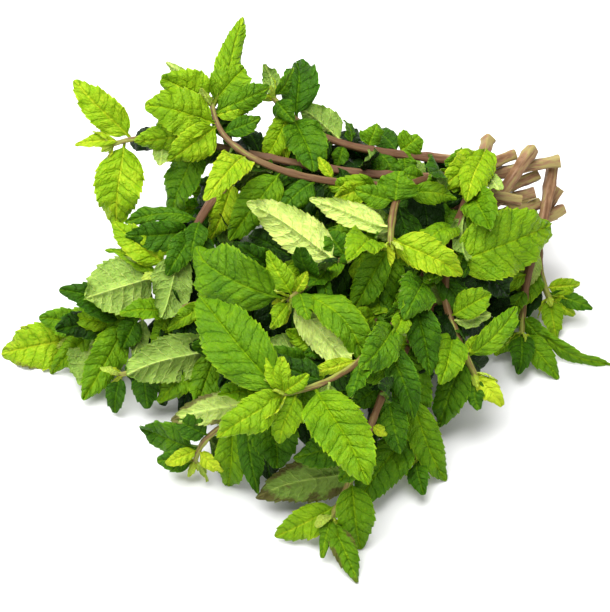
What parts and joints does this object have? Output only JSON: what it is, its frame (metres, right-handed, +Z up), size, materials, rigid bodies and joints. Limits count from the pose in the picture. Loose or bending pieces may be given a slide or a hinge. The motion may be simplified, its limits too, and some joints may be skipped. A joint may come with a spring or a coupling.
{
  "type": "bunch of mint",
  "caption": "Loose bunch of fresh mint sprigs lying on its side, with toothed leaves on square stems that fan out from where they were cut.",
  "frame": {"origin": "middle of the footprint, on the surface that the bunch lies on", "axes": "+X towards the cut ends of the stems, +Y to the back of the bunch, +Z up"},
  "size_m": [0.2632, 0.2408, 0.1016],
  "materials": {
    "stem": "matte square herb stem, pinkish brown, going green towards its tip",
    "leaf": "satin crinkled leaf with sunken veins, mid green above and pale grey-green underneath",
    "young_leaf": "satin young leaf, bright yellow-green"
  },
  "bodies": {
    "root": {"sprig_01_leaf_a": "leaf", "sprig_01_leaf_b": "leaf", "sprig_01_leaf_c": "leaf", "sprig_01_leaf_d": "leaf", "sprig_01_leaf_e": "leaf", "sprig_01_leaf_f": "young_leaf", "sprig_01_stem": "stem", "sprig_02_leaf_a": "young_leaf", "sprig_02_leaf_b": "leaf", "sprig_02_leaf_c": "leaf", "sprig_02_stem": "stem", "sprig_03_leaf_a": "leaf", "sprig_03_leaf_b": "leaf", "sprig_03_stem": "stem", "sprig_04_leaf_a": "young_leaf", "sprig_04_leaf_b": "leaf", "sprig_04_leaf_c": "leaf", "sprig_04_leaf_d": "leaf", "sprig_04_stem": "stem", "sprig_05_leaf_a": "leaf", "sprig_05_leaf_b": "leaf", "sprig_05_leaf_c": "leaf", "sprig_05_leaf_d": "leaf", "sprig_05_stem": "stem", "sprig_06_leaf_a": "leaf", "sprig_06_leaf_b": "leaf", "sprig_06_stem": "stem", "sprig_07_leaf_a": "leaf", "sprig_07_leaf_b": "leaf", "sprig_07_leaf_c": "leaf", "sprig_07_leaf_d": "leaf", "sprig_07_stem": "stem", "sprig_08_leaf_a": "leaf", "sprig_08_leaf_b": "leaf", "sprig_08_leaf_c": "leaf", "sprig_08_leaf_d": "leaf", "sprig_08_leaf_e": "leaf", "sprig_08_stem": "stem", "sprig_09_leaf_a": "leaf", "sprig_09_leaf_b": "leaf", "sprig_09_leaf_c": "leaf", "sprig_09_stem": "stem", "sprig_10_leaf_a": "leaf", "sprig_10_leaf_b": "leaf", "sprig_10_stem": "stem", "sprig_11_leaf_a": "leaf", "sprig_11_leaf_b": "leaf", "sprig_11_stem": "stem", "sprig_12_leaf_a": "leaf", "sprig_12_leaf_b": "leaf", "sprig_12_stem": "stem", "sprig_13_stem": "stem", "sprig_14_leaf_a": "leaf", "sprig_14_stem": "stem", "sprig_15_leaf_a": "leaf", "sprig_15_leaf_b": "leaf", "sprig_15_stem": "stem", "sprig_16_leaf_a": "leaf", "sprig_16_leaf_b": "leaf", "sprig_16_stem": "stem"}
  },
  "joints": []
}
